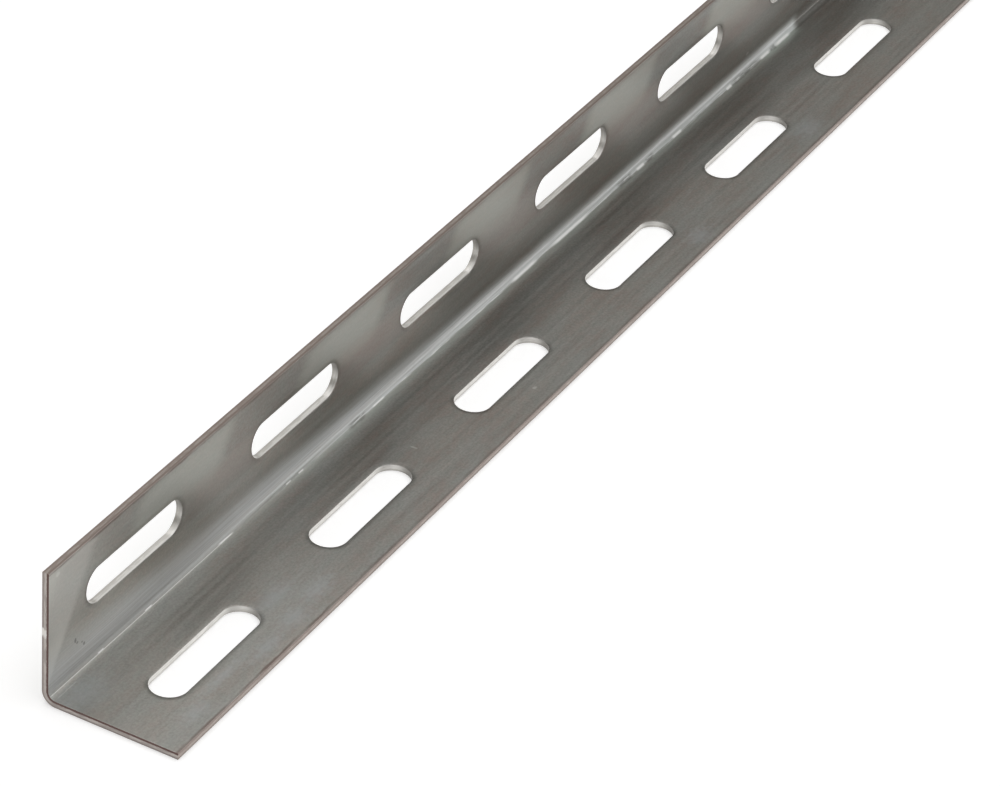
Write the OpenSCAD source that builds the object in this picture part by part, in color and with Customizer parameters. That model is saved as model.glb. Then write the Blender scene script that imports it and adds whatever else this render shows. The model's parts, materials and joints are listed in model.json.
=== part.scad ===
// Perforated steel angle: one strip of sheet steel, punched with two rows of
// round-ended slots and folded along its length into an L.
// It lies on its flat leg, with the upright leg along the back.
// X runs along the length, Y from the flat leg's free edge to the heel, Z up.
// The origin is at the middle of the underside of the overall box.

/* [Sheet] */
// Thickness of the steel sheet
sheet_t = 1.6; // [1:0.1:3]
// Radius of the fold, on its inside
fold_inside_r = 1.6; // [0.8:0.1:4]

/* [Legs] */
// Length from cut end to cut end
length = 609.6; // [150:0.1:1800]
// Outside width of the leg that lies flat
flat_leg = 31.75; // [28:0.05:60]
// Outside height of the leg that stands up
upright_leg = 31.75; // [28:0.05:60]
// Width of the break on the slit edges of both legs
edge_break = 0.2; // [0.05:0.05:0.4]

/* [Slots] */
// Width of a slot
slot_w = 8.4; // [5:0.1:12]
// Length of a slot, over its round ends
slot_l = 34.2; // [15:0.1:48]
// Distance between the centres of neighbouring slots
slot_pitch = 60.3; // [52:0.1:120]
// Distance from the first cut end to the centre of the first slot
first_slot = 30.15; // [26:0.05:60]
// Distance from the heel's outer face to the centre line of the flat leg's slots
flat_gauge = 18.45; // [14:0.05:20]
// Distance from the heel's underside to the centre line of the upright leg's slots
upright_gauge = 19.05; // [14:0.05:20]
// Width of the rolled-over rim that the punch leaves on the inside faces
rim_break = 0.25; // [0.05:0.05:0.4]

/* [Hidden] */
$fn = 96;

steel_grey = [0.45, 0.45, 0.43];

// How far a cutter runs past the faces that it cuts
overrun = 1;

fold_outside_r = fold_inside_r + sheet_t;
start_x = -length / 2;
heel_y = flat_leg / 2;

// The last slot leaves at least the first slot's margin to the far cut end
slot_count = floor((length - 2 * first_slot) / slot_pitch) + 1;
slot_r = slot_w / 2;
slot_half_span = slot_l / 2 - slot_r;

// Rectangle from the origin with its corner there rounded to radius r
module heel_block(w, h, r) {
    translate([r, r])
        circle(r = r);
    translate([r, 0])
        square([w - r, h]);
    translate([0, r])
        square([w, h - r]);
}

// Triangle that takes the corner at the origin off a shape in the first quadrant
module arris() {
    polygon([
        [-edge_break, -edge_break],
        [2 * edge_break, -edge_break],
        [-edge_break, 2 * edge_break]
    ]);
}

// Both arrises of the free edge of a leg that lies along u and ends at leg_w
module free_edge(leg_w) {
    translate([leg_w, 0])
        mirror([1, 0])
            arris();
    translate([leg_w, sheet_t])
        rotate(180)
            arris();
}

// Section of the angle: its heel at the origin, the flat leg along u, the upright leg along v
module section() {
    difference() {
        heel_block(flat_leg, upright_leg, fold_outside_r);
        translate([sheet_t, sheet_t])
            heel_block(flat_leg, upright_leg, fold_inside_r);
        free_edge(flat_leg);
        mirror([1, -1])
            free_edge(upright_leg);
    }
}

// Cutter for one slot: a round-ended hole through a sheet that lies from z = 0
// to z = sheet_t, opened by the rim break at its upper face
module slot_cutter() {
    for (end = [-1, 1])
        translate([end * slot_half_span, 0, 0]) {
            translate([0, 0, -overrun])
                cylinder(h = sheet_t + 2 * overrun, r = slot_r);
            translate([0, 0, sheet_t - rim_break])
                cylinder(h = rim_break + overrun, r1 = slot_r, r2 = slot_r + rim_break + overrun);
        }
    rotate([90, 0, 90])
        linear_extrude(height = 2 * slot_half_span, center = true)
            polygon([
                [-slot_r, -overrun],
                [slot_r, -overrun],
                [slot_r, sheet_t - rim_break],
                [slot_r + rim_break + overrun, sheet_t + overrun],
                [-slot_r - rim_break - overrun, sheet_t + overrun],
                [-slot_r, sheet_t - rim_break]
            ]);
}

// One row of slots along X, its first slot's centre at the origin
module slot_row() {
    for (i = [0 : slot_count - 1])
        translate([i * slot_pitch, 0, 0])
            slot_cutter();
}

module perforated_angle() {
    color(steel_grey)
        difference() {
            translate([start_x, heel_y, 0])
                rotate([90, 0, 90])
                    mirror([1, 0, 0])
                        linear_extrude(height = length)
                            section();
            translate([start_x + first_slot, heel_y - flat_gauge, 0])
                slot_row();
            translate([start_x + first_slot, heel_y, upright_gauge])
                rotate([90, 0, 0])
                    slot_row();
        }
}

perforated_angle();
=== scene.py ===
"""Perforated steel angle: mill-finish sheet steel, punched with two rows of slots and folded into an L."""

import json
import math

import bpy
from mathutils import Matrix, Vector


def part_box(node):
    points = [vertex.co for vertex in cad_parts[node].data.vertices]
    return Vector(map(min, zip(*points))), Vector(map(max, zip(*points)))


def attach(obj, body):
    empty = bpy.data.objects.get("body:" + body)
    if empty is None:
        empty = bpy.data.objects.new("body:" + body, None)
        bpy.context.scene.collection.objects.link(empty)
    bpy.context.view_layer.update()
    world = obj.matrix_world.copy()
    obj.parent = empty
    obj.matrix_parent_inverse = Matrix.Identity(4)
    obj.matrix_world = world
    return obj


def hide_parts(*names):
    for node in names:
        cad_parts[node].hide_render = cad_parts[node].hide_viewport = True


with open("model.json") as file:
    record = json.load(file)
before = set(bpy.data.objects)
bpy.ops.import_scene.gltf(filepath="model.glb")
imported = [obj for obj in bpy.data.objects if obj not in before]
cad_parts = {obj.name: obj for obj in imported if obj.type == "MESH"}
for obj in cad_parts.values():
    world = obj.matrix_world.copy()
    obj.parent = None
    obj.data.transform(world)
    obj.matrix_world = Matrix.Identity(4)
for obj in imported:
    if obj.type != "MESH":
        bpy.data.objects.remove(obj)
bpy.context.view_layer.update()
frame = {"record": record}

MM = 0.001
NODE = "perforated_angle"


# ---------------------------------------------------------------- sizes

low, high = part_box(NODE)
length = high.x - low.x
heel_y = high.y
flat_leg = high.y - low.y
upright_leg = high.z - low.z

# The sheet and its fold have these sizes in the solid model too
sheet_t = 1.6 * MM
fold_inside_r = 1.6 * MM
fold_outside_r = fold_inside_r + sheet_t

# Each mount of these two kinds is a pair of neighbouring slots, placed by the middle between them
mounts = frame["record"]["mounts"]
flat_pairs = [m for m in mounts if m["name"].startswith("flat_leg_slots")]
upright_pairs = [m for m in mounts if m["name"].startswith("upright_leg_slots")]
slot_r = flat_pairs[0]["dims"]["hole_r_mm"] * MM
slot_l = flat_pairs[0]["dims"]["slot_length_mm"] * MM
slot_pitch = flat_pairs[0]["dims"]["spacing_x_mm"] * MM
slot_count = 2 * len(flat_pairs)
slot_straight = slot_l / 2 - slot_r
flat_gauge = heel_y - flat_pairs[0]["pos_m"][1]
upright_gauge = upright_pairs[0]["pos_m"][2]
first_slot_x = flat_pairs[0]["pos_m"][0] - slot_pitch / 2
far_margin = high.x - first_slot_x - (slot_count - 1) * slot_pitch

# The punch draws the inside face down round each slot: distance out from the wall, and depth there
ROLLED_RIM = [(0.0, 0.11 * MM), (0.15 * MM, 0.07 * MM), (0.5 * MM, 0.035 * MM), (1.1 * MM, 0.0)]
RIM_REACH = 1.3 * MM

# How wide the broken arrises are, how many faces each has, and the angle between faces that makes one
ARRIS = 0.06 * MM
ARRIS_STEPS = 2
ARRIS_ABOVE = math.radians(50)

# How many steps round a quarter of a slot's end, round the fold, and along its edge for each pitch
SLOT_CORNER_STEPS = 18
FOLD_STEPS = 16
HEEL_CUTS = 11
SMOOTH_BELOW = math.radians(20)

# Places closer than this are the same place
HAIR = 0.01 * MM


# ---------------------------------------------------------------- where the finish changes

# Places on the unrolled strip are measured along it from the first cut end, and across it from the middle
# of the fold, with a minus sign on the flat leg. A change is where it begins, where it is complete, and the
# values there, which are 0 and 1 if they aren't given. A band is its middle, how far out it ends, and how
# far out it is full.
HALF_FOLD = (fold_inside_r + sheet_t / 2) * math.pi / 4
FREE_EDGE = HALF_FOLD + flat_leg - fold_outside_r
FLAT_ROW = flat_gauge - fold_outside_r + HALF_FOLD
UPRIGHT_ROW = upright_gauge - fold_outside_r + HALF_FOLD

# By depth: half-way through the sheet the inside face's wear and painted light give way to the clean outside
INSIDE = (0.6 * sheet_t, 0.4 * sheet_t)

# The steel grows browner along the strip, and is paler near the first cut end
BROWNS = (20 * MM, 110 * MM, 0.15, 0.7)
PALER_NEAR_END = (45 * MM, 85 * MM, 1.0, 0.87)

# The crease drifts this far towards the flat leg for each step along
CREASE = 0.2 * MM
CREASE_DRIFT = 0.0022

# The rubbed band on the upright leg's side of the fold, with the fold's highlight painted on it: how far
# up it reaches, the shares of that reach at which it ends and is full, its soft foot, and the crisp foot
# that it has away from the first cut end
RUB_SHEEN_REACH = (-20 * MM, 205 * MM, 12 * MM, 5.3 * MM)
RUB_SHEEN_ENDS = 1.1
RUB_SHEEN_FULL = 0.4
RUB_SHEEN_SOFT_FOOT = (-0.5 * MM, 2.6 * MM)
RUB_SHEEN_CRISP_FOOT = (CREASE - 0.45 * MM, CREASE - 0.15 * MM, 0.0, 0.75)
RUB_SHEEN_TURNS_CRISP = (62 * MM, 125 * MM)
RUB_SHEEN_RAGGED = 0.6 * MM

# How bright the rubbed band and its painted highlight are along the strip. The nose pressed harder just
# before the band stops.
RUB_SHEEN_BRIGHTENS = (40 * MM, 85 * MM, 0.8, 1.0)
RUB_SHEEN_DULLS = (170 * MM, 240 * MM, 0.96, 0.76)
RUB_SHEEN_LAST_PRESS = (309 * MM, 318 * MM, 1.0, 1.25)
RUB_SHEEN_STOPS = (334 * MM, 330 * MM)

# The fainter smear on the flat leg's side of the fold, with the fold's highlight painted on it
SMEAR_SHEEN_FOOT = (-3.2 * MM, -0.8 * MM)
SMEAR_SHEEN_GROWS = (30 * MM, 120 * MM, 0.15, 1.0)
SMEAR_SHEEN_LAST_PRESS = (309 * MM, 318 * MM, 1.0, 2.2)

# The painted highlight on the brightest part of the rubbed band, where the brake's nose pressed hardest
PRESSED_HIGHLIGHT = (2.1 * MM, 1.3 * MM, 0.3 * MM)
PRESSED_HIGHLIGHT_STARTS = (40 * MM, 75 * MM, 0.0, 0.36)
PRESSED_HIGHLIGHT_EASES = (110 * MM, 230 * MM, 1.0, 0.2)

# The glints in the crease, highlights painted on its tool marks, and how they widen, the scribble between
# them, and the hairline near the first cut end
GLINT_LINE = CREASE - 0.1 * MM
GLINT_FULL = 0.1 * MM
GLINTS_WIDEN = (110 * MM, 190 * MM, 0.4 * MM, 0.9 * MM)
SCRIBBLE_STARTS = (70 * MM, 100 * MM, 0.0, 0.6)
HAIRLINE = (CREASE, 0.18 * MM, 0.05 * MM)
HAIRLINE_ENDS = (66 * MM, 60 * MM, 0.0, 0.6)

# The duller gaps between the glints, and the painted shade in the inside of the fold past the rubbed band's
# end
DULL_GAP = (GLINT_LINE, 1.4 * MM, 0.5 * MM)
CREASE_SHADE = (1.6 * MM, 3.0 * MM, 1.8 * MM)

# Marks along the crease, as the place of the middle and the length, in millimetres, and the shares of that
# length at which a mark ends and is full
BRIGHT_MARKS = [(17.7, 2.2), (34.8, 2.6), (63.5, 5.5), (88, 2), (93, 2), (125, 5), (190, 12), (212, 18),
                (247, 4), (266, 5), (294, 3), (314, 5), (324, 8)]
DULL_MARKS = [(116, 7), (239, 7), (252, 4), (303, 14), (318.5, 3)]
MARK_ENDS = 0.6
MARK_FULL = 0.3

# The upright leg bows softly out of the fold, and near the first cut end the crease lies deeper than round
BOW_STARTS = -1.6 * MM
BOW_HEIGHT = 1.5 * MM
CREASE_DEEPER = (50 * MM, 125 * MM, 0.2 * MM, 0.0)

# Edge of the painted light on the upright leg's corner at the first cut end, light that passes the flat
# leg's cut end: how far it runs along for each step up the leg, where it would start, how much softer it
# is for each step up, and its softness at the fold
LIT_CORNER_SLOPE = 0.635
LIT_CORNER_START = 1.8 * MM
LIT_CORNER_SOFTENS = 0.08
LIT_CORNER_SOFTNESS = 0.4 * MM
LIT_CORNER_RAGGED = 0.8 * MM

# The painted light corner's faint fringe past that edge, how it fades up the leg, and its foot
LIT_CORNER_FRINGE = (-9 * MM, 0.0, 0.0, 0.22)
LIT_CORNER_FADES = (4 * MM, 20 * MM, 0.97, 0.31)
LIT_CORNER_FOOT = (0.5 * MM, 2 * MM)

# Painted shade in a band beside the fold on the flat leg, and a painted sheen on the low band of the
# upright leg beside it
FOLD_SHADE_BAND = (-8.5 * MM, 6.5 * MM, 2.6 * MM)
FOLD_SHADE_DARKENS = (0.0, 210 * MM, 0.0, 0.16)
LOW_SHEEN_BAND = (9 * MM, 6 * MM, 1.8 * MM)
LOW_SHEEN_PALES = (60 * MM, 230 * MM, 0.4, 0.15)

# The painted light along the top of the upright leg, in patches cast up through the flat leg's slots:
# their lean, where the first starts, their spacing, both ends as shares of that spacing, and their height
LIT_PATCH_LEAN = 0.6
LIT_PATCH_START = 13 * MM
LIT_PATCH_PITCH = 62 * MM
LIT_PATCH_NEAR_END = (-0.02, 0.09)
LIT_PATCH_FAR_END = (0.62, 0.52)
LIT_PATCH_FOOT = (16.5 * MM, 24.5 * MM)
LIT_PATCH_TOP = (30 * MM, 28 * MM, 0.5, 1.0)

# The warmer webs between the slots of the upright leg
WEB_FOOT = (12.5 * MM, 14.5 * MM)
WEB_TOP = (23 * MM, 20 * MM)
WEBS_WARM = (36 * MM, 62 * MM)

# The painted shade round each slot's rolled rim: how far from the slot's middle line, and how dark it is
# along the straights and round the ends
RIM_SHADE = (slot_r + 1.7 * MM, slot_r + 0.5 * MM)
RIM_SHADE_DARKENS = (0.0, 2 * MM, 0.12, 0.3)
RIM_SHADE_RAGGED = 0.8 * MM

# The brown line inside each slit edge, its share on the outside face, and how it lessens along the strip
RUST_LINE = (0.35 * MM, 0.0)
RUST_RAGGED = 0.8 * MM
RUST_OUTSIDE = (0.0, 1.0, 0.4, 1.0)
RUST_LESSENS = (40 * MM, 110 * MM, 0.7, 0.35)

# On the cut faces, by depth: where the torn part begins, and the line next to the inside face
TORN_PART = (0.75 * sheet_t, 0.85 * sheet_t)
EDGE_LINE = (0.47 * sheet_t, 0.37 * sheet_t)
TORN_RAGGED = 0.3 * MM

# The painted shade on the far end of each slot's wall, past the straight part, and its shade out from and
# in to the heel
SHADED_END = (0.5 * MM, 2.5 * MM)
SHADED_OUTER = (-2 * MM, 2.2 * MM, 0.25, 0.8)
SHADED_INNER = (-1.5 * MM, -3.2 * MM, 0.25, 0.4)

# Small marks on the inside faces, as the middle along and across, and half the size each way, in
# millimetres
PALE_SCUFFS = [(3.0, 28.6, 0.9, 0.5), (4.3, -1.6, 3.4, 0.25), (115, -15.6, 0.3, 0.9),
               (150, -25.7, 0.8, 0.4), (304.5, 5.2, 0.7, 0.4)]
DARK_NICKS = [(9.2, 8.7, 0.35, 0.6), (9.9, 7.9, 0.45, 0.3), (12.2, 6.2, 0.35, 0.4),
              (11.5, 7.0, 0.25, 0.25)]
OIL_LINES = [(46, -7.6, 50, 0.8), (62, -5.4, 34, 0.6), (120, -8.6, 30, 0.5)]
BLUE_STAINS = [(12.7, -26.2, 4.5, 1.9), (25, -24.5, 9, 1.2), (38, -26.8, 6.5, 1.8),
               (53.5, -18.8, 6, 2.4), (49.5, -26, 4.5, 2.6), (60, -25, 6, 2.2), (5, -5.2, 8, 4.2),
               (228, -26.5, 5, 2.6), (288, -25.7, 6, 2.6)]
BARE_CHIP = (0.0, 16.0, 1.0, 1.15)

# Each kind of small mark: where, how softly it ends, how strongly it shows, and its colour
SMALL_MARKS = [
    (BLUE_STAINS, 1.0, 0.3, "BDC4C9"),
    (PALE_SCUFFS, 0.5, 0.28, "EDEEEA"),
    (DARK_NICKS, 0.3, 0.45, "4C4A48"),
    (OIL_LINES, 0.9, 0.16, "6E6C68"),
]
CHIP_SOFTNESS = 0.5

# How far in and out a spot's outline wanders, as a share of its half-size
SPOT_RAGGED = (0.3, 0.7, -0.3, 0.3)

# Patterns: the length and width of their blotches, how much finer detail they hold, a shift that keeps each
# apart from the rest, and for some how rough they are. Real rolled steel's speckle and rolling lines are
# 0.02 to 0.2 mm wide. They are drawn as coarse as they need to be to show.
CLOUDS = (30 * MM, 8 * MM, 4.0)
WARM_CLOUDS = (18 * MM, 5 * MM, 4.0, 7.0)
MOTTLE = (2.6 * MM, 1.4 * MM, 2.0, 15.0)
STREAKS = (60 * MM, 1.1 * MM, 3.0, 0.0, 0.6)
ROLLING_LINES = (2.4 * MM, 0.5 * MM, 3.0, 3.0)
SPECKLE = (0.6 * MM, 0.6 * MM, 2.0, 13.0, 0.7)
WAVES = (90 * MM, 14 * MM, 1.0, 11.0)
SCORING = (25 * MM, 0.4 * MM, 2.0, 5.0)
SCRIBBLE = (7 * MM, 0.5 * MM, 3.0, 9.0)
WORN_GAPS = (3 * MM, 0.7 * MM, 3.0, 21.0)
RAGGED_RUB_SHEEN = (9 * MM, 0.8 * MM, 3.0, 2.0)
RAGGED_LIT_CORNER = (1.5 * MM, 1.5 * MM, 2.0, 4.0)
RAGGED_RIM_SHADE = (2 * MM, 2 * MM, 3.0, 17.0)
RAGGED_SPOTS = (1.2 * MM, 1.2 * MM, 3.0, 19.0)
RAGGED_RUST = (5 * MM, 5 * MM, 3.0, 8.0)
RUST_PATCHES = (14 * MM, 3 * MM, 3.0, 6.0)
TORN_GRAIN = (0.8 * MM, 0.8 * MM, 3.0)
CUT_STAINS = (3 * MM, 3 * MM, 3.0, 23.0)

# Blotches through the sheet's thickness, so that its two faces differ
BLOTCHES_THROUGH = 3

# How much of each pattern shows, as the change that its noise makes
CLOUDS_SHOW = (0.35, 0.65)
WARM_CLOUDS_SHOW = (0.42, 0.68)
MOTTLE_SHOWS = (0.35, 0.65, 0.0, 0.4)
STREAKS_TONE = (0.3, 0.7, 0.96, 1.04)
ROLLING_TONE = (0.3, 0.7, 0.96, 1.04)
SPECKLE_TONE = (0.3, 0.7, 0.92, 1.08)
SCORING_TONE = (0.35, 0.65, 0.72, 1.04)
SCRIBBLE_SHOWS = (0.52, 0.66)
GAPS_SHOW = (0.35, 0.55)
RUST_SHOWS = (0.35, 0.6, 0.3, 1.0)
CUT_STAINS_SHOW = (0.42, 0.6, 0.0, 0.7)

# Heights of the forms that are too slight for the mesh
WAVE_HEIGHT = 0.06 * MM
ROLLING_HEIGHT = 0.002 * MM
SCORING_HEIGHT = 0.03 * MM
TORN_HEIGHT = 0.05 * MM
TORN_STRENGTH = 0.3

# Satin steel's roughness over its streaks, what the rubbed band and the painted light corner add to it,
# and the cut faces' roughness
SATIN = (0.3, 0.7, 0.37, 0.43)
RUB_SHEEN_ROUGHER = 0.12
CUT_ROUGHNESS = 0.42

# A glint is a highlight painted on freshly torn steel, which scatters light, so only this share of it is
# a mirror
GLINT_METALLIC = 0.4


# ---------------------------------------------------------------- studio

# The floor glows this much to the eye and to the steel, besides the light that it takes from the lamps
FLOOR_SIZE = 8.0
FLOOR_GAP = 0.02 * MM
FLOOR_GLOW = 0.35

# The walls' colours, the heights at which they change, as sines of the angle above the horizon, and the
# turn from the dim wall to the lighter one
SWEEP = "FFFFFF"
WALLS = "827F79"
DIM_WALL = "5A5852"
CEILING = "FFFFFF"
SWEEP_FADES = (0.28, 0.05)
CEILING_RISES = (0.51, 0.77)
WALL_TURNS = (-0.3, 0.3)

# Each softbox: its name, width, depth, place and power
SOFTBOXES = [
    ("overhead", 2.4, 2.4, (0, 0, 2.0), 12),
    ("side", 0.4, 0.6, (1.14, -1.01, 0.28), 1.0),
]

SENSOR_MM = 36
LENS_MM = 149.43
CLIP_START = 0.01
CAMERA_AZIMUTH = math.radians(-63.06)
CAMERA_ELEVATION = math.radians(33.87)
CAMERA_ROLL = math.radians(4.47)
CAMERA_AIM = (-158.84 * MM, -4.86 * MM, 0)
CAMERA_DISTANCE = 911.5 * MM


# ---------------------------------------------------------------- finishes

SMOOTH = {"interpolation_type": "SMOOTHSTEP"}


def srgb(code):
    """A colour written as sRGB hex, turned linear."""
    channels = [int(code[i:i + 2], 16) / 255 for i in (0, 2, 4)]
    linear = [c / 12.92 if c <= 0.04045 else ((c + 0.055) / 1.055) ** 2.4 for c in channels]
    return (*linear, 1)


def add(tree, kind, *values, **settings):
    """Adds a node and gives its first open output. Values fill its open inputs in order, and a setting that
    starts with a capital fills the input of that name. Another node's output is linked."""
    node = tree.nodes.new("ShaderNode" + kind)
    named = {name: settings.pop(name) for name in list(settings) if name[0].isupper()}
    for name, value in settings.items():
        setattr(node, name, value)
    open_inputs = [socket for socket in node.inputs if socket.enabled]
    filled = list(zip(open_inputs, values))
    filled += [(node.inputs[name], value) for name, value in named.items()]
    for socket, value in filled:
        if isinstance(value, bpy.types.NodeSocket):
            tree.links.new(value, socket)
        else:
            socket.default_value = value
    return next((socket for socket in node.outputs if socket.enabled), None)


def product(tree, *factors):
    """All the factors, multiplied together."""
    total = factors[0]
    for factor in factors[1:]:
        total = add(tree, "Math", total, factor, operation="MULTIPLY")
    return total


def near(tree, value, middle, ends, full):
    """One where value is within full of middle, going smoothly down to nothing where it is ends away."""
    away = add(tree, "Math", value, middle, operation="SUBTRACT")
    away = add(tree, "Math", away, operation="ABSOLUTE")
    return add(tree, "MapRange", away, ends, full, **SMOOTH)


def grain(tree, strip, long, wide, detail, shift=0.0, roughness=0.5):
    """Noise from 0 to 1 on the unrolled strip, its blotches about long by wide."""
    scale = (1 / long, 1 / wide, BLOTCHES_THROUGH / sheet_t)
    place = add(tree, "Mapping", strip, Location=(shift, shift, 0), Scale=scale)
    return add(tree, "TexNoise", place, Scale=1.0, Detail=detail, Roughness=roughness)


def coat(tree, colour, layers):
    """The colour once each layer in turn has covered it. A layer is where it lies, how strongly it shows,
    and its own colour."""
    for where, strength, code in layers:
        share = add(tree, "Math", where, strength, operation="MULTIPLY")
        colour = add(tree, "Mix", share, colour, srgb(code), data_type="RGBA")
    return colour


def new_finish(name):
    """An empty material: its tree, and where it lies on the unrolled strip."""
    finish = bpy.data.materials.new(name)
    finish.use_nodes = True
    tree = finish.node_tree
    tree.nodes.clear()
    strip = add(tree, "Attribute", attribute_name="strip").node.outputs["Vector"]
    axes = add(tree, "SeparateXYZ", strip).node.outputs
    return finish, tree, strip, axes["X"], axes["Y"], axes["Z"]


def mill_finish():
    """Bare cold-rolled steel as it leaves the mill, lightly oiled: a satin warm-grey mirror with faint cool
    and brown clouds, and weak streaks that run along the strip. Painted light, shade and highlights lie on
    it too."""
    finish, tree, strip, along, across, depth = new_finish("cold_rolled_steel")
    inside = add(tree, "MapRange", depth, *INSIDE, **SMOOTH)
    streaks = grain(tree, strip, *STREAKS)
    rolling_lines = grain(tree, strip, *ROLLING_LINES)
    scoring = grain(tree, strip, *SCORING)

    # The steel itself, in its clouds
    browner = add(tree, "MapRange", grain(tree, strip, *WARM_CLOUDS), *WARM_CLOUDS_SHOW, **SMOOTH)
    browner = product(tree, browner, add(tree, "MapRange", along, *BROWNS, **SMOOTH))
    colour = coat(tree, srgb("A6A19B"), [
        (add(tree, "MapRange", grain(tree, strip, *CLOUDS), *CLOUDS_SHOW, **SMOOTH), 1.0, "A6A5A1"),
        (browner, 1.0, "A1968F"),
        (add(tree, "MapRange", grain(tree, strip, *MOTTLE), *MOTTLE_SHOWS, **SMOOTH), 1.0, "9DA19B"),
    ])

    # What makes it lighter or darker all through, with painted shade beside the fold and round the slots,
    # and a painted sheen low on the upright leg
    tone = product(
        tree,
        add(tree, "MapRange", streaks, *STREAKS_TONE, **SMOOTH),
        add(tree, "MapRange", rolling_lines, *ROLLING_TONE, **SMOOTH),
        add(tree, "MapRange", grain(tree, strip, *SPECKLE), *SPECKLE_TONE, **SMOOTH),
        add(tree, "MapRange", along, *PALER_NEAR_END, **SMOOTH),
        painted_fold_shade(tree, along, across),
        painted_rim_shade(tree, strip, along, across, inside),
        painted_low_sheen(tree, along, across),
    )
    colour = add(tree, "VectorMath", colour, tone, operation="SCALE")

    # What lies on it, from the bottom up
    rubbed_sheen, smeared_sheen, dull_and_shade, glints = fold_wear_and_sheen(tree, strip, along, across, inside, scoring)
    lit_corner = painted_light_corner(tree, strip, along, across, inside)
    layers = [
        (warm_webs(tree, along, across), 0.25, "B9ABA4"),
        # Painted light cast up through the flat leg's slots onto the top of the upright leg
        (painted_light_patches(tree, along, across, inside), 0.42, "CBCDC5"),
        # Painted light on the upright leg's corner at the first cut end
        (lit_corner, 1.0, "E6E5E0"),
        # A smear on the flat leg's side of the fold, with the fold's highlight painted on it
        (smeared_sheen, 0.35, "C3CBC4"),
        # The rubbed band up the upright leg, with the fold's highlight painted on it
        (rubbed_sheen, 1.0, "EDEFF0"),
        # Duller gaps in the crease, and painted shade in the fold past the rubbed band's end
        (dull_and_shade, 0.5, "6E6C68"),
        # Highlights painted on the tool marks in the crease
        (glints, 1.0, "FAFAF8"),
    ]
    for places, softness, strength, code in SMALL_MARKS:
        layers.append((product(tree, spots(tree, strip, places, softness), inside), strength, code))
    layers.append((edge_rust(tree, strip, along, across, inside), 1.0, "75625B"))
    colour = coat(tree, colour, layers)

    metallic = add(tree, "MapRange", glints, 0.0, 1.0, 1.0, GLINT_METALLIC)
    # The rubbed band and the painted light corner are a little rougher
    worn_and_lit = add(tree, "Math", rubbed_sheen, lit_corner, operation="MAXIMUM")
    satin = add(tree, "MapRange", streaks, *SATIN, **SMOOTH)
    satin = add(tree, "Math", worn_and_lit, RUB_SHEEN_ROUGHER, satin, operation="MULTIPLY_ADD")

    height = bowed_foot(tree, along, across, inside)
    deeper = deeper_crease(tree, along, across, inside)
    height = add(tree, "Math", height, deeper, operation="SUBTRACT")
    forms = [
        (grain(tree, strip, *WAVES), WAVE_HEIGHT),
        (rolling_lines, ROLLING_HEIGHT),
        (product(tree, scoring, rubbed_sheen), SCORING_HEIGHT),
    ]
    for form, rise in forms:
        height = add(tree, "Math", form, rise, height, operation="MULTIPLY_ADD")
    bump = add(tree, "Bump", Height=height, Strength=1.0, Distance=1.0)
    shader = add(tree, "BsdfPrincipled", colour, metallic, satin, Normal=bump)
    add(tree, "OutputMaterial", shader)
    return finish


def painted_fold_shade(tree, along, across):
    """How dark the painted shade in a band beside the fold on the flat leg makes it."""
    darkens = add(tree, "MapRange", along, *FOLD_SHADE_DARKENS, **SMOOTH)
    darker = product(tree, near(tree, across, *FOLD_SHADE_BAND), darkens)
    return add(tree, "Math", 1.0, darker, operation="SUBTRACT")


def painted_low_sheen(tree, along, across):
    """How pale the painted sheen on the low part of the upright leg, next to the fold, makes it."""
    pales = add(tree, "MapRange", along, *LOW_SHEEN_PALES, **SMOOTH)
    paler = product(tree, near(tree, across, *LOW_SHEEN_BAND), pales)
    return add(tree, "Math", 1.0, paler, operation="ADD")


def from_slots(tree, along, across):
    """How far a place lies from the middle of its nearest slot: along the strip, and out from the heel."""
    on_along = add(tree, "Math", along, first_slot_x - low.x, operation="SUBTRACT")
    on_along = add(tree, "Math", on_along, slot_pitch / 2, -slot_pitch / 2, operation="WRAP")
    out = add(tree, "Math", across, (UPRIGHT_ROW - FLAT_ROW) / 2, operation="SUBTRACT")
    out = add(tree, "Math", out, operation="ABSOLUTE")
    return on_along, add(tree, "Math", out, (UPRIGHT_ROW + FLAT_ROW) / 2, operation="SUBTRACT")


def painted_rim_shade(tree, strip, along, across, inside):
    """How dark the painted shade round the rolled rim of every slot makes it, most at the slot's round ends.
    """
    on_along, out = from_slots(tree, along, across)
    beyond = add(tree, "Math", on_along, operation="ABSOLUTE")
    beyond = add(tree, "Math", beyond, slot_straight, operation="SUBTRACT")
    beyond = add(tree, "Math", beyond, 0.0, operation="MAXIMUM")
    from_middle = add(tree, "VectorMath", add(tree, "CombineXYZ", beyond, out), operation="LENGTH")
    ragged = grain(tree, strip, *RAGGED_RIM_SHADE)
    away = add(tree, "Math", ragged, RIM_SHADE_RAGGED, from_middle, operation="MULTIPLY_ADD")
    rim_shade = add(tree, "MapRange", away, *RIM_SHADE, **SMOOTH)
    darkens = add(tree, "MapRange", beyond, *RIM_SHADE_DARKENS, **SMOOTH)
    return add(tree, "Math", 1.0, product(tree, rim_shade, darkens, inside), operation="SUBTRACT")


def spots(tree, strip, places, softness):
    """One inside each spot, fading over softness of its half-size, with a slightly ragged outline."""
    ragged = add(tree, "MapRange", grain(tree, strip, *RAGGED_SPOTS), *SPOT_RAGGED, **SMOOTH)
    found = 0.0
    for x, u, long, wide in places:
        away = add(tree, "VectorMath", strip, (x * MM, u * MM, 0), operation="SUBTRACT")
        sizes = (1 / (long * MM), 1 / (wide * MM), 0)
        away = add(tree, "VectorMath", away, sizes, operation="MULTIPLY")
        away = add(tree, "VectorMath", away, operation="LENGTH")
        away = add(tree, "Math", away, ragged, operation="ADD")
        spot = add(tree, "MapRange", away, 1.0 + softness / 2, 1.0 - softness, **SMOOTH)
        found = add(tree, "Math", found, spot, operation="MAXIMUM")
    return found


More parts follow.
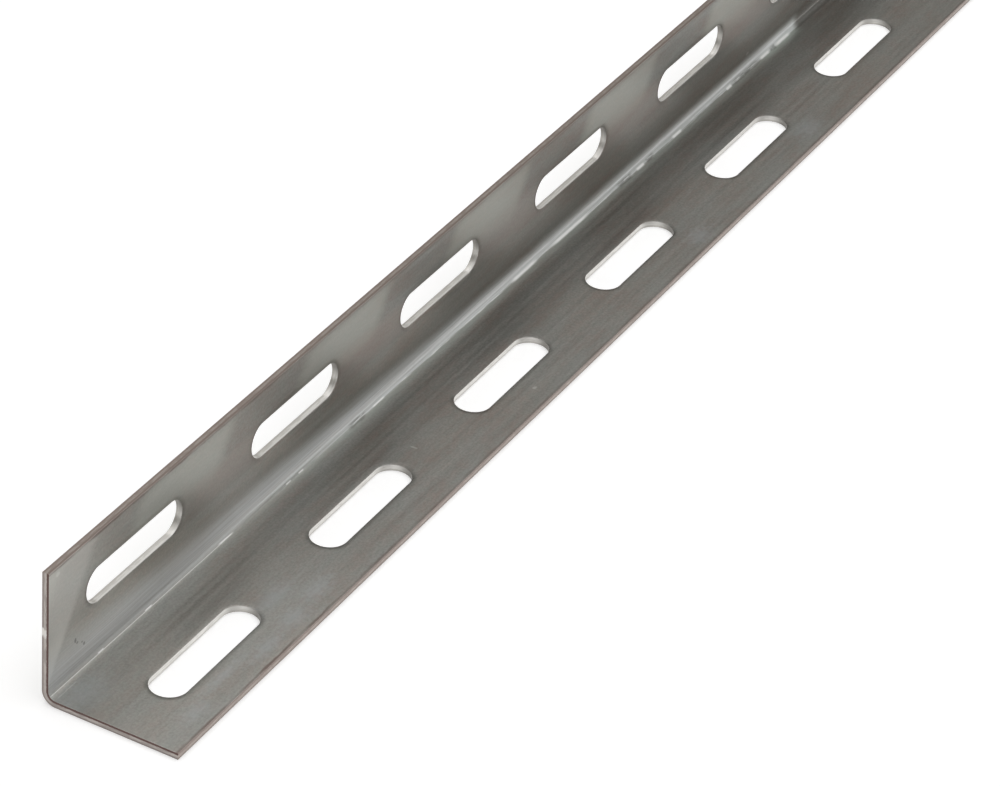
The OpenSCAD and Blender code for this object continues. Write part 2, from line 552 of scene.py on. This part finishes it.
def fold_wear_and_sheen(tree, strip, along, across, inside, scoring):
    """The brake nose's rubbing on the inside of the fold, with the fold's highlight painted over it: the
    pale band up the upright leg, a fainter smear on the flat leg's side, the parts that it missed with
    painted shade past the band's end, and the glints that it left, painted as highlights."""
    across = add(tree, "Math", along, CREASE_DRIFT, across, operation="MULTIPLY_ADD")
    ragged = product(tree, grain(tree, strip, *RAGGED_RUB_SHEEN), RUB_SHEEN_RAGGED)
    place = add(tree, "Math", across, ragged, operation="SUBTRACT")
    stops = add(tree, "MapRange", along, *RUB_SHEEN_STOPS, **SMOOTH)
    scored = add(tree, "MapRange", scoring, *SCORING_TONE, **SMOOTH)
    reach = add(tree, "MapRange", along, *RUB_SHEEN_REACH, **SMOOTH)
    ends = product(tree, reach, RUB_SHEEN_ENDS)
    full = product(tree, reach, RUB_SHEEN_FULL)
    head = add(tree, "MapRange", across, ends, full, **SMOOTH)
    head = product(tree, head, stops, inside)

    foot = add(tree, "MapRange", place, *RUB_SHEEN_CRISP_FOOT, **SMOOTH)
    foot = product(tree, foot, add(tree, "MapRange", along, *RUB_SHEEN_TURNS_CRISP, **SMOOTH))
    soft_foot = add(tree, "MapRange", across, *RUB_SHEEN_SOFT_FOOT, **SMOOTH)
    foot = add(tree, "Math", foot, soft_foot, operation="MAXIMUM")
    rubbed_sheen = product(tree, foot, head, scored)
    for change in (RUB_SHEEN_BRIGHTENS, RUB_SHEEN_DULLS, RUB_SHEEN_LAST_PRESS):
        rubbed_sheen = product(tree, rubbed_sheen, add(tree, "MapRange", along, *change, **SMOOTH))

    smeared_sheen = product(tree, add(tree, "MapRange", place, *SMEAR_SHEEN_FOOT, **SMOOTH), head)
    for change in (SMEAR_SHEEN_GROWS, SMEAR_SHEEN_LAST_PRESS):
        smeared_sheen = product(tree, smeared_sheen, add(tree, "MapRange", along, *change, **SMOOTH))

    dull_and_shade = dull_gaps_and_crease_shade(tree, strip, along, across, place, stops)
    pressed_highlight = product(tree, near(tree, place, *PRESSED_HIGHLIGHT), scored)
    for change in (PRESSED_HIGHLIGHT_STARTS, PRESSED_HIGHLIGHT_EASES):
        pressed_highlight = product(tree, pressed_highlight, add(tree, "MapRange", along, *change, **SMOOTH))
    glints = crease_glints(tree, strip, along, across, place)
    glints = add(tree, "Math", glints, pressed_highlight, operation="MAXIMUM")
    return rubbed_sheen, smeared_sheen, product(tree, dull_and_shade, inside), product(tree, glints, stops, inside)


def crease_glints(tree, strip, along, across, place):
    """Highlights painted on the marks in the crease: the single ones, a scribble between them, and a
    hairline near the first cut end."""
    scribble = add(tree, "MapRange", grain(tree, strip, *SCRIBBLE), *SCRIBBLE_SHOWS, **SMOOTH)
    scribble = product(tree, scribble, add(tree, "MapRange", along, *SCRIBBLE_STARTS, **SMOOTH))
    glints = add(tree, "Math", scribble, along_marks(tree, along, BRIGHT_MARKS), operation="MAXIMUM")
    width = add(tree, "MapRange", along, *GLINTS_WIDEN, **SMOOTH)
    glints = product(tree, glints, near(tree, place, GLINT_LINE, width, GLINT_FULL))
    hairline = near(tree, across, *HAIRLINE)
    hairline = product(tree, hairline, add(tree, "MapRange", along, *HAIRLINE_ENDS, **SMOOTH))
    return add(tree, "Math", glints, hairline, operation="MAXIMUM")


def dull_gaps_and_crease_shade(tree, strip, along, across, place, stops):
    """Gaps between the glints that the nose missed, and painted shade in the fold's inside past the end
    of the rubbing.
    """
    worn_gaps = add(tree, "MapRange", grain(tree, strip, *WORN_GAPS), *GAPS_SHOW, **SMOOTH)
    gaps = product(tree, along_marks(tree, along, DULL_MARKS), near(tree, place, *DULL_GAP), worn_gaps)
    past = add(tree, "Math", 1.0, stops, operation="SUBTRACT")
    crease_shade = product(tree, near(tree, across, *CREASE_SHADE), past)
    return add(tree, "Math", gaps, crease_shade, operation="MAXIMUM")


def along_marks(tree, along, marks):
    """One wherever a mark lies along the strip; each mark is the place of its middle and its length."""
    found = 0.0
    for middle, long in marks:
        mark = near(tree, along, middle * MM, MARK_ENDS * long * MM, MARK_FULL * long * MM)
        found = add(tree, "Math", found, mark, operation="MAXIMUM")
    return found


def bowed_foot(tree, along, across, inside):
    """Height of the soft bow by which the upright leg runs out of the fold, steepest next to the fold."""
    reach = add(tree, "MapRange", along, *RUB_SHEEN_REACH, **SMOOTH)
    left = add(tree, "MapRange", across, BOW_STARTS, reach, 1.0, 0.0)

    # The curve left ** 3 * (4 - 3 * left) is level at both of its ends
    cube = add(tree, "Math", left, 3.0, operation="POWER")
    rest = add(tree, "Math", left, -3.0, 4.0, operation="MULTIPLY_ADD")
    return product(tree, cube, rest, inside, BOW_HEIGHT)


def deeper_crease(tree, along, across, inside):
    """How much deeper the inside of the fold lies than its round form, most at the crease."""
    across = add(tree, "Math", along, CREASE_DRIFT, across, operation="MULTIPLY_ADD")
    from_upright = add(tree, "MapRange", across, HALF_FOLD, CREASE)
    from_flat = add(tree, "MapRange", across, -HALF_FOLD, CREASE)
    into = add(tree, "Math", from_upright, from_flat, operation="MINIMUM")
    return product(tree, into, into, inside, add(tree, "MapRange", along, *CREASE_DEEPER, **SMOOTH))


def painted_light_corner(tree, strip, along, across, inside):
    """Painted light on a corner of the upright leg at the first cut end: light that passes the flat leg's
    cut end makes it paler up to a straight line."""
    line = add(tree, "Math", across, LIT_CORNER_SLOPE, -LIT_CORNER_START, operation="MULTIPLY_ADD")
    ragged = grain(tree, strip, *RAGGED_LIT_CORNER)
    reached = add(tree, "Math", ragged, LIT_CORNER_RAGGED, along, operation="MULTIPLY_ADD")
    short_of = add(tree, "Math", line, reached, operation="SUBTRACT")
    soft = add(tree, "Math", across, LIT_CORNER_SOFTENS, LIT_CORNER_SOFTNESS, operation="MULTIPLY_ADD")
    lit_corner = add(tree, "MapRange", short_of, product(tree, soft, -1.0), soft, **SMOOTH)
    fringe = add(tree, "MapRange", short_of, *LIT_CORNER_FRINGE, **SMOOTH)
    lit_corner = add(tree, "Math", lit_corner, fringe, operation="MAXIMUM")
    for change in (LIT_CORNER_FADES, LIT_CORNER_FOOT):
        lit_corner = product(tree, lit_corner, add(tree, "MapRange", across, *change, **SMOOTH))
    return product(tree, lit_corner, inside)


def painted_light_patches(tree, along, across, inside):
    """Painted light along the top of the upright leg, in slanting patches cast up through the flat leg's
    slots.
    """
    leaning = add(tree, "Math", across, -LIT_PATCH_LEAN, along, operation="MULTIPLY_ADD")
    turn = add(tree, "Math", leaning, LIT_PATCH_START, operation="SUBTRACT")
    turn = add(tree, "Math", turn, LIT_PATCH_PITCH, operation="DIVIDE")
    turn = add(tree, "Math", turn, operation="FRACT")
    lit_patch = inside
    for change in (LIT_PATCH_NEAR_END, LIT_PATCH_FAR_END):
        lit_patch = product(tree, lit_patch, add(tree, "MapRange", turn, *change, **SMOOTH))
    for change in (LIT_PATCH_FOOT, LIT_PATCH_TOP):
        lit_patch = product(tree, lit_patch, add(tree, "MapRange", across, *change, **SMOOTH))
    return lit_patch


def warm_webs(tree, along, across):
    """Slightly warmer, paler steel between the slots of the upright leg."""
    warmer = add(tree, "MapRange", along, *WEBS_WARM, **SMOOTH)
    for change in (WEB_FOOT, WEB_TOP):
        warmer = product(tree, warmer, add(tree, "MapRange", across, *change, **SMOOTH))
    return warmer


def edge_rust(tree, strip, along, across, inside):
    """Thin brown lines just inside the slit edges, where the bare cut has begun to rust."""
    from_edge = add(tree, "Math", across, operation="ABSOLUTE")
    from_edge = add(tree, "Math", FREE_EDGE, from_edge, operation="SUBTRACT")
    ragged = product(tree, grain(tree, strip, *RAGGED_RUST), RUST_RAGGED)
    from_edge = add(tree, "Math", from_edge, ragged, operation="SUBTRACT")
    return product(
        tree,
        add(tree, "MapRange", from_edge, *RUST_LINE, **SMOOTH),
        add(tree, "MapRange", grain(tree, strip, *RUST_PATCHES), *RUST_SHOWS, **SMOOTH),
        add(tree, "MapRange", inside, *RUST_OUTSIDE, **SMOOTH),
        add(tree, "MapRange", along, *RUST_LESSENS, **SMOOTH),
    )


def cut_steel(name, sheared, torn, line, chipped=0.0, shaded=0.0):
    """Steel where a tool cut it: a bright band that the blade slid down, then a duller, torn one, and a line
    next to the inside face. Chipped and shaded are how strongly a bright chip and painted shade on a
    slot wall's far end show."""
    finish, tree, strip, along, across, depth = new_finish(name)
    rough = grain(tree, strip, *TORN_GRAIN)
    level = add(tree, "Math", rough, TORN_RAGGED, depth, operation="MULTIPLY_ADD")
    colour = coat(tree, srgb(sheared), [
        (add(tree, "MapRange", level, *TORN_PART, **SMOOTH), 1.0, torn),
        (add(tree, "MapRange", grain(tree, strip, *CUT_STAINS), *CUT_STAINS_SHOW, **SMOOTH), 1.0, torn),
        (spots(tree, strip, [BARE_CHIP], CHIP_SOFTNESS), chipped, "D2CFCB"),
        (add(tree, "MapRange", level, *EDGE_LINE, **SMOOTH), 1.0, line),
        (shaded_wall(tree, along, across), shaded, "6A6762"),
    ])
    bump = add(tree, "Bump", Height=rough, Strength=TORN_STRENGTH, Distance=TORN_HEIGHT)
    shader = add(tree, "BsdfPrincipled", colour, 1.0, CUT_ROUGHNESS, Normal=bump)
    add(tree, "OutputMaterial", shader)
    return finish


def shaded_wall(tree, along, across):
    """Painted shade on the far end of each slot's wall, most on its side away from the heel."""
    on_along, out = from_slots(tree, along, across)
    beyond = add(tree, "Math", on_along, slot_straight, operation="SUBTRACT")
    beyond = add(tree, "MapRange", beyond, *SHADED_END, **SMOOTH)
    outer = add(tree, "MapRange", out, *SHADED_OUTER, **SMOOTH)
    inner = add(tree, "MapRange", out, *SHADED_INNER, **SMOOTH)
    return product(tree, beyond, add(tree, "Math", outer, inner, operation="MAXIMUM"))


MILL_FINISH = mill_finish()
PUNCHED_WALL = cut_steel("punched_steel", "E8E6E2", "D0CDC8", "E8E6E2", shaded=1.0)
SHEARED_END = cut_steel("sheared_steel", "B0A9A4", "8E8682", "5E4B47", chipped=1.0)
SLIT_EDGE = cut_steel("slit_steel", "B2A8A1", "9A8E87", "938680")


# ---------------------------------------------------------------- modelling helpers

def only(piece):
    """Leaves edit mode and makes piece the one selected, active object."""
    if bpy.context.object and bpy.context.object.mode != "OBJECT":
        bpy.ops.object.mode_set(mode="OBJECT")
    bpy.ops.object.select_all(action="DESELECT")
    piece.select_set(True)
    bpy.context.view_layer.objects.active = piece


def pick(piece, parts, test):
    """Enters edit mode with only the vertices, edges or polygons selected whose every corner passes test."""
    mode = {"vertices": "VERT", "edges": "EDGE", "polygons": "FACE"}[parts]
    bpy.ops.object.mode_set(mode="EDIT")
    bpy.ops.mesh.select_mode(type=mode)
    bpy.ops.mesh.select_all(action="DESELECT")
    bpy.ops.object.mode_set(mode="OBJECT")
    corners = piece.data.vertices
    for part in getattr(piece.data, parts):
        places = [part.co] if parts == "vertices" else [corners[v].co for v in part.vertices]
        part.select = all(test(place) for place in places)
    bpy.ops.object.mode_set(mode="EDIT")


def apply_modifier(piece, kind, **settings):
    """Adds a modifier with these settings and applies it."""
    only(piece)
    modifier = piece.modifiers.new(kind.lower(), kind)
    for name, value in settings.items():
        setattr(modifier, name, value)
    bpy.ops.object.modifier_apply(modifier=modifier.name)


def apply_place(piece):
    """Puts the object's place into its mesh."""
    only(piece)
    bpy.ops.object.transform_apply(location=True, rotation=True, scale=True)


# ---------------------------------------------------------------- the folded, punched strip

def slot_distance(x, u):
    """How far a point lies outside a slot's wall: x along and u across from the slot's centre."""
    return math.hypot(max(abs(x) - slot_straight, 0), u) - slot_r


def on_ring(x, u, distance):
    """Whether a point at x, and u from its slots' line, lies at distance from its nearest slot's wall."""
    from_slot = (x - first_slot_x + slot_pitch / 2) % slot_pitch - slot_pitch / 2
    return abs(slot_distance(from_slot, u) - distance) < HAIR


def leg_pitch(name, gauge, leg):
    """One pitch of a leg's inside face laid flat, x along and y out from the heel, with rings round its
    slot."""
    bpy.ops.object.select_all(action="DESELECT")
    bpy.ops.mesh.primitive_plane_add(size=1, location=(0, gauge, 0))
    panel = bpy.context.object
    panel.name = name
    panel.scale = (slot_l + 2 * RIM_REACH, 2 * (slot_r + RIM_REACH), 1)
    apply_place(panel)

    # The round-ended outline, then rings stepped in to the slot's wall
    bpy.ops.object.mode_set(mode="EDIT")
    bpy.ops.mesh.select_all(action="SELECT")
    bpy.ops.mesh.bevel(
        offset=slot_r + RIM_REACH,
        segments=SLOT_CORNER_STEPS,
        affect="VERTICES",
        profile=0.5,
    )
    bpy.ops.mesh.select_all(action="SELECT")
    bpy.ops.mesh.remove_doubles(threshold=HAIR)
    ring = RIM_REACH
    for distance, _ in reversed(ROLLED_RIM):
        bpy.ops.mesh.inset(thickness=ring - distance, use_even_offset=True)
        ring = distance
    bpy.ops.mesh.delete(type="FACE")

    # The pitch's own outline, finely cut along the heel so that the fold has short faces
    bpy.ops.mesh.primitive_plane_add(size=1, location=(0, (fold_outside_r + leg) / 2, 0))
    bpy.ops.transform.resize(value=(slot_pitch, leg - fold_outside_r, 1))
    bpy.ops.mesh.delete(type="ONLY_FACE")
    pick(panel, "edges", lambda p: abs(p.y - fold_outside_r) < HAIR)
    bpy.ops.mesh.subdivide(number_cuts=HEEL_CUTS)
    pick(panel, "edges", lambda p: slot_distance(p.x, p.y - gauge) > RIM_REACH - HAIR)
    bpy.ops.mesh.fill(use_beauty=True)
    bpy.ops.object.mode_set(mode="OBJECT")
    return panel


def leg_face(name, gauge, leg, stance):
    """A whole leg's inside face in its place: the pitch repeated, and the far margin drawn out."""
    face = leg_pitch(name, gauge, leg)
    apply_modifier(
        face,
        "ARRAY",
        count=slot_count,
        use_relative_offset=False,
        use_constant_offset=True,
        constant_offset_displace=(slot_pitch, 0, 0),
        use_merge_vertices=True,
        merge_threshold=HAIR,
    )
    last_x = (slot_count - 0.5) * slot_pitch
    pick(face, "edges", lambda p: abs(p.x - last_x) < HAIR)
    drawn_out = (far_margin - slot_pitch / 2, 0, 0)
    bpy.ops.mesh.extrude_region_move(TRANSFORM_OT_translate={"value": drawn_out})
    bpy.ops.object.mode_set(mode="OBJECT")
    face.matrix_world = Matrix.Translation((first_slot_x, 0, 0)) @ stance
    apply_place(face)
    return face


def sink_rims(strip):
    """Draws the inside faces down round every slot, as the punch does on its way in."""
    for distance, depth in ROLLED_RIM:
        pick(strip, "vertices", lambda p: abs(p.z - sheet_t) < HAIR
             and on_ring(p.x, heel_y - p.y - flat_gauge, distance))
        bpy.ops.transform.translate(value=(0, 0, -depth))
        pick(strip, "vertices", lambda p: abs(heel_y - p.y - sheet_t) < HAIR
             and on_ring(p.x, p.z - upright_gauge, distance))
        bpy.ops.transform.translate(value=(0, depth, 0))
    bpy.ops.object.mode_set(mode="OBJECT")


def unrolled(place):
    """A point's place on the strip as it was before folding: along it, across it from the fold's middle, and
    its depth below the inside face. Across is negative on the flat leg and positive on the upright one."""
    along = place.x - low.x
    from_heel = heel_y - place.y
    if from_heel >= fold_outside_r:
        return (along, fold_outside_r - from_heel - HALF_FOLD, sheet_t - place.z)
    if place.z >= fold_outside_r:
        return (along, place.z - fold_outside_r + HALF_FOLD, sheet_t - from_heel)
    out = fold_outside_r - from_heel
    down = fold_outside_r - place.z
    turned = math.atan2(out, down) / (math.pi / 4) - 1
    return (along, turned * HALF_FOLD, math.hypot(out, down) - fold_inside_r)


def set_cut_faces(strip, finish, test):
    """Gives the finish to the faces whose every corner passes test."""
    pick(strip, "polygons", test)
    strip.active_material_index = strip.data.materials.find(finish.name)
    bpy.ops.object.material_slot_assign()
    bpy.ops.object.mode_set(mode="OBJECT")


def folded_strip():
    """The whole angle: both inside faces joined round the fold, then given the sheet's thickness, its rolled
    rims and broken arrises, and its place on the unrolled strip."""
    lie = Matrix(((1, 0, 0, 0), (0, -1, 0, heel_y), (0, 0, -1, sheet_t), (0, 0, 0, 1)))
    stand = Matrix(((1, 0, 0, 0), (0, 0, -1, heel_y - sheet_t), (0, 1, 0, 0), (0, 0, 0, 1)))
    strip = leg_face("steel_angle", flat_gauge, flat_leg, lie)
    upright = leg_face("upright_face", upright_gauge, upright_leg, stand)

    fold_y = heel_y - fold_outside_r
    only(strip)
    pick(strip, "edges", lambda p: abs(p.y - fold_y) < HAIR)
    bpy.ops.mesh.spin(
        steps=FOLD_STEPS,
        angle=math.radians(90),
        center=(0, fold_y, fold_outside_r),
        axis=(-1, 0, 0),
    )
    only(strip)
    upright.select_set(True)
    bpy.ops.object.join()
    bpy.ops.object.mode_set(mode="EDIT")
    bpy.ops.mesh.select_all(action="SELECT")
    bpy.ops.mesh.remove_doubles(threshold=HAIR)
    bpy.ops.mesh.normals_make_consistent(inside=False)
    bpy.ops.object.mode_set(mode="OBJECT")
    if strip.data.polygons[0].normal.z < 0:
        bpy.ops.object.mode_set(mode="EDIT")
        bpy.ops.mesh.flip_normals()
        bpy.ops.object.mode_set(mode="OBJECT")

    # The thickened sheet's rim is where the tools cut it. It all takes the second finish, the slots' walls',
    # and the ends and the slit edges then get their own.
    for finish in (MILL_FINISH, PUNCHED_WALL, SHEARED_END, SLIT_EDGE):
        strip.data.materials.append(finish)
    apply_modifier(
        strip,
        "SOLIDIFY",
        thickness=sheet_t,
        offset=-1,
        use_even_offset=True,
        material_offset_rim=1,
    )
    set_cut_faces(strip, SHEARED_END, lambda p: abs(abs(p.x) - length / 2) < HAIR)
    set_cut_faces(strip, SLIT_EDGE, lambda p: p.y < low.y + HAIR or p.z > high.z - HAIR)
    sink_rims(strip)
    apply_modifier(
        strip,
        "BEVEL",
        width=ARRIS,
        segments=ARRIS_STEPS,
        limit_method="ANGLE",
        angle_limit=ARRIS_ABOVE,
    )

    only(strip)
    bpy.ops.object.shade_smooth_by_angle(angle=SMOOTH_BELOW)
    flat_strip = strip.data.attributes.new("strip", "FLOAT_VECTOR", "POINT")
    places = [unrolled(vertex.co) for vertex in strip.data.vertices]
    flat_strip.data.foreach_set("vector", [value for place in places for value in place])
    return strip


# ---------------------------------------------------------------- floor, light and camera

def pale_floor():
    """A pale floor just under the angle, white to the eye and to the steel, that still takes its shadow."""
    bpy.ops.object.select_all(action="DESELECT")
    bpy.ops.mesh.primitive_plane_add(size=FLOOR_SIZE, location=(0, 0, -FLOOR_GAP))
    floor = bpy.context.object
    floor.name = "floor"
    apply_place(floor)
    paper = bpy.data.materials.new("white_paper")
    paper.use_nodes = True
    tree = paper.node_tree
    tree.nodes.clear()
    rays = add(tree, "LightPath").node.outputs
    seen = add(tree, "Math", rays["Is Camera Ray"], rays["Is Glossy Ray"], operation="MAXIMUM")
    seen = add(tree, "Math", seen, rays["Is Transmission Ray"], operation="MAXIMUM")
    glow = add(tree, "Emission", srgb("FFFFFF"), product(tree, seen, FLOOR_GLOW))
    matt = add(tree, "BsdfDiffuse", srgb("E8E8E8"))
    add(tree, "OutputMaterial", add(tree, "AddShader", matt, glow))
    floor.data.materials.append(paper)


def softbox(name, width, depth, place, power):
    """A square, evenly lit softbox at place, facing the middle of the angle."""
    lamp = bpy.data.lights.new(name, "AREA")
    lamp.shape = "RECTANGLE"
    lamp.size = width
    lamp.size_y = depth
    lamp.energy = power
    box = bpy.data.objects.new(name, lamp)
    bpy.context.scene.collection.objects.link(box)
    box.location = place
    box.rotation_euler = (-Vector(place)).to_track_quat("-Z", "Y").to_euler()


def studio_walls():
    """Soft light from all round: a pale sweep at the horizon, greyer walls above it and a pale ceiling."""
    world = bpy.data.worlds.new("studio")
    world.use_nodes = True
    tree = world.node_tree
    tree.nodes.clear()
    axes = add(tree, "SeparateXYZ", add(tree, "TexCoord")).node.outputs
    colour = coat(tree, srgb(DIM_WALL), [
        (add(tree, "MapRange", axes["Y"], *WALL_TURNS, **SMOOTH), 1.0, WALLS),
        (add(tree, "MapRange", axes["Z"], *SWEEP_FADES, **SMOOTH), 1.0, SWEEP),
        (add(tree, "MapRange", axes["Z"], *CEILING_RISES, **SMOOTH), 1.0, CEILING),
    ])
    add(tree, "OutputWorld", add(tree, "Background", colour, 1.0))
    bpy.context.scene.world = world


def aim_camera():
    """Looks down along the angle from beyond its near end."""
    lens = bpy.data.cameras.new("camera")
    lens.sensor_width = SENSOR_MM
    lens.lens = LENS_MM
    lens.clip_start = CLIP_START
    camera = bpy.data.objects.new("camera", lens)
    bpy.context.scene.collection.objects.link(camera)
    flat = math.cos(CAMERA_ELEVATION)
    look = Vector((
        -math.sin(CAMERA_AZIMUTH) * flat,
        math.cos(CAMERA_AZIMUTH) * flat,
        -math.sin(CAMERA_ELEVATION),
    ))
    place = Matrix.Translation(Vector(CAMERA_AIM) - look * CAMERA_DISTANCE)
    roll = Matrix.Rotation(CAMERA_ROLL, 4, "Z")
    camera.matrix_world = place @ look.to_track_quat("-Z", "Y").to_matrix().to_4x4() @ roll
    bpy.context.scene.camera = camera


# ---------------------------------------------------------------- making it

strip = folded_strip()
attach(strip, "root")
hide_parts(NODE)

studio_walls()
pale_floor()
for name, width, depth, place, power in SOFTBOXES:
    softbox(name, width, depth, place, power)
aim_camera()
bpy.context.scene.view_settings.view_transform = "Standard"
